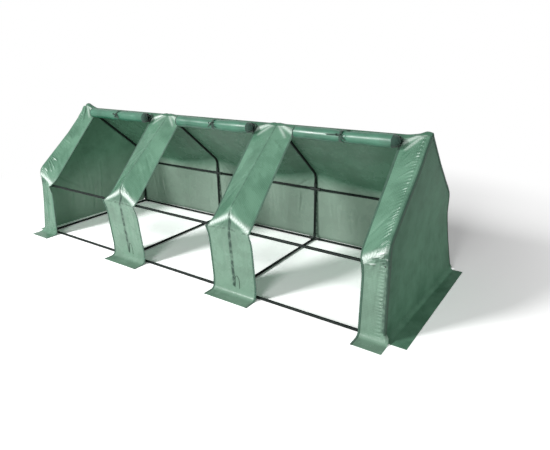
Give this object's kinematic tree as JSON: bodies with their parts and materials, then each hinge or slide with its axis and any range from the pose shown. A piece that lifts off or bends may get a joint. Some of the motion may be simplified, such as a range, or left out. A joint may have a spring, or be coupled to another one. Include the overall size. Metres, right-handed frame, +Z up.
{
  "type": "tunnel greenhouse",
  "caption": "Low garden greenhouse: a bolt-free steel tube frame of pitched hoops and rails under a woven film cover, with roll-up doors along the front held by ties and zips.",
  "frame": {"origin": "on the ground under the middle of the greenhouse, flaps included", "axes": "+X along the ridge, towards the near gable of the picture; -Y is the door side; +Z up"},
  "size_m": [2.8818, 1.1518, 0.9051],
  "materials": {
    "tube_paint": "dark green painted steel tube, satin",
    "fitting_plastic": "moulded sleeve fitting, matte",
    "cover_film": "translucent green film with a fine woven grid, glossy",
    "tie_tape": "woven tape, matte",
    "zip_metal": "small zip slider, satin"
  },
  "bodies": {
    "greenhouse": {"base_rail_front_1": "tube_paint", "base_rail_front_2": "tube_paint", "base_rail_front_3": "tube_paint", "base_rail_back_1": "tube_paint", "base_rail_back_2": "tube_paint", "base_rail_back_3": "tube_paint", "mid_rail_front_1": "tube_paint", "mid_rail_front_2": "tube_paint", "mid_rail_front_3": "tube_paint", "mid_rail_back_1": "tube_paint", "mid_rail_back_2": "tube_paint", "mid_rail_back_3": "tube_paint", "ridge_rail_1": "tube_paint", "ridge_rail_2": "tube_paint", "ridge_rail_3": "tube_paint", "base_cross_1": "tube_paint", "base_cross_2": "tube_paint", "base_cross_3": "tube_paint", "base_cross_4": "tube_paint", "foot_front_1": "fitting_plastic", "foot_front_2": "fitting_plastic", "foot_front_3": "fitting_plastic", "foot_front_4": "fitting_plastic", "foot_back_1": "fitting_plastic", "foot_back_2": "fitting_plastic", "foot_back_3": "fitting_plastic", "foot_back_4": "fitting_plastic", "post_front_1": "tube_paint", "post_front_2": "tube_paint", "post_front_3": "tube_paint", "post_front_4": "tube_paint", "post_back_1": "tube_paint", "post_back_2": "tube_paint", "post_back_3": "tube_paint", "post_back_4": "tube_paint", "rafter_front_1": "tube_paint", "rafter_front_2": "tube_paint", "rafter_front_3": "tube_paint", "rafter_front_4": "tube_paint", "rafter_back_1": "tube_paint", "rafter_back_2": "tube_paint", "rafter_back_3": "tube_paint", "rafter_back_4": "tube_paint", "cover_main": "cover_film", "cover_strip_1": "cover_film", "cover_strip_2": "cover_film", "cover_gable_left": "cover_film", "cover_gable_right": "cover_film"},
    "door_1": {"door_roll_1": "cover_film", "door_tie_1": "tie_tape"},
    "door_2": {"door_roll_2": "cover_film", "door_tie_2": "tie_tape"},
    "door_3": {"door_roll_3": "cover_film", "door_tie_3": "tie_tape"},
    "zip_left_1": {"zip_slider_left_1": "zip_metal"},
    "zip_right_1": {"zip_slider_right_1": "zip_metal"},
    "zip_left_2": {"zip_slider_left_2": "zip_metal"},
    "zip_right_2": {"zip_slider_right_2": "zip_metal"},
    "zip_left_3": {"zip_slider_left_3": "zip_metal"},
    "zip_right_3": {"zip_slider_right_3": "zip_metal"}
  },
  "joints": [
    {"name": "door_1_unroll", "type": "slide", "parent": "greenhouse", "child": "door_1", "axis": [0, -0.683, -0.7305], "range_m": [0, 0.5]},
    {"name": "door_2_unroll", "type": "slide", "parent": "greenhouse", "child": "door_2", "axis": [0, -0.683, -0.7305], "range_m": [0, 0.5]},
    {"name": "door_3_unroll", "type": "slide", "parent": "greenhouse", "child": "door_3", "axis": [0, -0.683, -0.7305], "range_m": [0, 0.5]},
    {"name": "zip_left_1_slide", "type": "slide", "parent": "greenhouse", "child": "zip_left_1", "axis": [0, -0.683, -0.7305], "range_m": [0, 0.55]},
    {"name": "zip_right_1_slide", "type": "slide", "parent": "greenhouse", "child": "zip_right_1", "axis": [0, -0.683, -0.7305], "range_m": [0, 0.55]},
    {"name": "zip_left_2_slide", "type": "slide", "parent": "greenhouse", "child": "zip_left_2", "axis": [0, -0.683, -0.7305], "range_m": [0, 0.55]},
    {"name": "zip_right_2_slide", "type": "slide", "parent": "greenhouse", "child": "zip_right_2", "axis": [0, -0.683, -0.7305], "range_m": [0, 0.55]},
    {"name": "zip_left_3_slide", "type": "slide", "parent": "greenhouse", "child": "zip_left_3", "axis": [0, -0.683, -0.7305], "range_m": [0, 0.55]},
    {"name": "zip_right_3_slide", "type": "slide", "parent": "greenhouse", "child": "zip_right_3", "axis": [0, -0.683, -0.7305], "range_m": [0, 0.55]}
  ]
}
